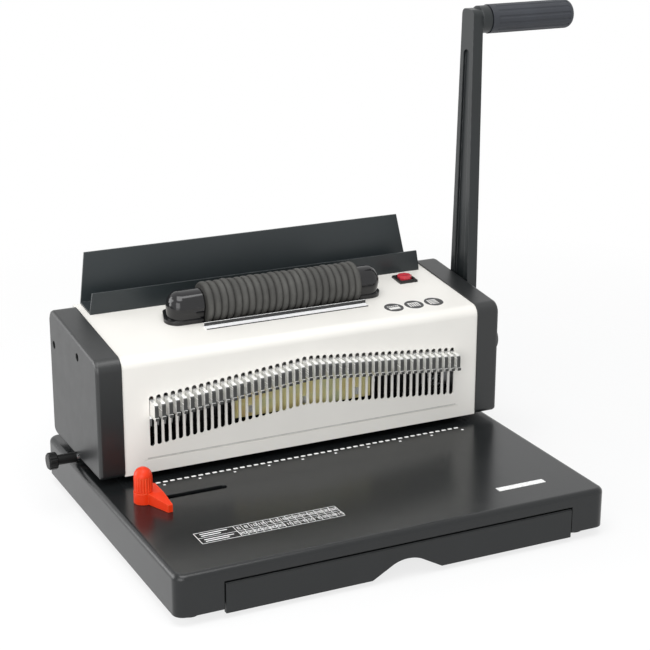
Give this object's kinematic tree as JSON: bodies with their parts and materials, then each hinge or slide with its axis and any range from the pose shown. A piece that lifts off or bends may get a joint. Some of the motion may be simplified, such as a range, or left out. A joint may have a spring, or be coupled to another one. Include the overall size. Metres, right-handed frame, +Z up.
{
  "type": "coil binding machine",
  "caption": "Desktop coil binding machine with a lever-driven punch, pull-out pins, chip drawer, paper guides and a motor-driven ribbed roller that winds plastic coils into the sheets.",
  "frame": {"origin": "bottom centre of the whole machine's box, on the desk", "axes": "+Z up; +Y from the paper table to the back; +X along the punch row, towards the lever"},
  "size_m": [0.5148, 0.3146, 0.407],
  "materials": {
    "black_paint": "semi-gloss powder coat",
    "black_moulding": "satin moulded",
    "white_paint": "satin powder coat",
    "slate_paint": "satin powder coat",
    "steel": "ground",
    "tool_steel": "hardened and ground",
    "black_steel": "blackened",
    "zinc_yellow": "yellow passivated zinc",
    "bright_zinc": "zinc plated",
    "lever_paint": "semi-gloss",
    "grip_rubber": "matt fluted",
    "foot_rubber": "matt",
    "gloss_black": "gloss moulded",
    "sleeve_foam": "soft foam rubber",
    "chrome": "polished",
    "orange_plastic": "satin moulded",
    "red_plastic": "gloss moulded",
    "bronze": "sintered",
    "nylon": "moulded",
    "motor_can": "zinc plated can",
    "belt_rubber": "matt"
  },
  "bodies": {
    "frame": {"base_pan": "black_paint", "base_floor": "black_steel", "rubber_feet": "foot_rubber", "drawer_runners": "bright_zinc", "left_frame_plate": "bright_zinc", "right_frame_plate": "bright_zinc", "lower_die": "tool_steel", "punch_guide": "black_steel", "guide_posts": "steel", "return_springs": "steel", "top_tie_bar": "black_steel", "shaft_bushes": "bronze", "left_end_cover": "black_moulding", "right_end_cover": "black_moulding", "front_cover": "white_paint", "rear_cover": "slate_paint", "end_cover_screws": "black_steel", "rear_cover_screws": "black_steel", "frame_screws": "bright_zinc", "base_screws": "bright_zinc", "coil_trough": "slate_paint", "trough_screws": "black_steel", "left_roller_cap": "gloss_black", "right_roller_cap": "gloss_black", "roller_bushes": "bronze", "coil_rest_strip": "chrome", "motor_bracket": "zinc_yellow", "inserter_motor": "motor_can", "drive_belt": "belt_rubber", "switch_body": "gloss_black", "power_inlet": "black_moulding"},
    "lever": {"lever_shaft": "steel", "drive_pinions": "tool_steel", "lever_arm": "lever_paint", "hub_cap": "black_moulding", "grip_axle": "bright_zinc"},
    "grip": {"lever_grip": "grip_rubber"},
    "beam": {"press_beam": "black_steel", "beam_racks": "tool_steel", "beam_stiffener": "zinc_yellow", "beam_bolts": "bright_zinc", "punch_pins": "tool_steel"},
    "pullers": {"pin_pullers": "steel"},
    "left_puller": {"left_end_puller": "steel"},
    "right_puller": {"right_end_puller": "steel"},
    "drawer": {"chip_drawer": "black_moulding"},
    "guide": {"edge_guide_foot": "orange_plastic", "guide_clamp_bolt": "bright_zinc"},
    "guide_knob": {"edge_guide_knob": "orange_plastic"},
    "depth_stop": {"depth_bar": "steel", "depth_knob": "black_moulding"},
    "rocker": {"switch_rocker": "red_plastic"},
    "roller": {"roller_sleeve": "sleeve_foam", "roller_shaft": "steel", "roller_pulley": "nylon"},
    "motor_shaft": {"motor_pulley": "nylon"}
  },
  "joints": [
    {"name": "lever_pull", "type": "hinge", "parent": "frame", "child": "lever", "pos_m": [0.1546, 0.10025, 0.09], "axis": [1, 0, 0], "range_deg": [0, 85], "stiffness_Nm_per_rad": 3, "springref_deg": -14.32},
    {"name": "beam_press", "type": "slide", "parent": "frame", "child": "beam", "axis": [0, 0, -1], "range_m": [0, 0.02226], "stiffness_N_per_m": 30, "springref_m": -0.86, "deforming": ["return_springs"]},
    {"name": "grip_spin", "type": "hinge", "parent": "lever", "child": "grip", "pos_m": [0.2086, 0.09627, 0.39397], "axis": [1, 0, 0], "continuous": true},
    {"name": "pullers_pull", "type": "slide", "parent": "beam", "child": "pullers", "axis": [0, -1, 0], "range_m": [0, 0.0095]},
    {"name": "left_puller_pull", "type": "slide", "parent": "beam", "child": "left_puller", "axis": [0, -1, 0], "range_m": [0, 0.0095]},
    {"name": "right_puller_pull", "type": "slide", "parent": "beam", "child": "right_puller", "axis": [0, -1, 0], "range_m": [0, 0.0095]},
    {"name": "drawer_slide", "type": "slide", "parent": "frame", "child": "drawer", "axis": [0, -1, 0], "range_m": [0, 0.19]},
    {"name": "guide_slide", "type": "slide", "parent": "frame", "child": "guide", "axis": [1, 0, 0], "range_m": [0, 0.066]},
    {"name": "guide_knob_turn", "type": "hinge", "parent": "guide", "child": "guide_knob", "pos_m": [-0.2084, -0.01675, 0.0504], "axis": [0, 0, 1], "range_deg": [0, 180]},
    {"name": "depth_turn", "type": "hinge", "parent": "frame", "child": "depth_stop", "pos_m": [-0.0414, 0.08475, 0.0474], "axis": [1, 0, 0], "range_deg": [-90, 90]},
    {"name": "switch_rock", "type": "hinge", "parent": "frame", "child": "rocker", "pos_m": [0.0951, 0.10335, 0.157], "axis": [1, 0, 0], "range_deg": [0, 18]},
    {"name": "roller_spin", "type": "hinge", "parent": "frame", "child": "roller", "pos_m": [-0.0414, 0.08384, 0.1701], "axis": [1, 0, 0], "continuous": true},
    {"name": "motor_spin", "type": "hinge", "parent": "frame", "child": "motor_shaft", "pos_m": [-0.1314, 0.10225, 0.128], "axis": [1, 0, 0], "continuous": true}
  ],
  "couplings": [
    {"joint": "beam_press", "follows": "lever_pull", "m_per_rad": 0.015},
    {"joint": "motor_spin", "follows": "roller_spin", "ratio": 1.4}
  ]
}
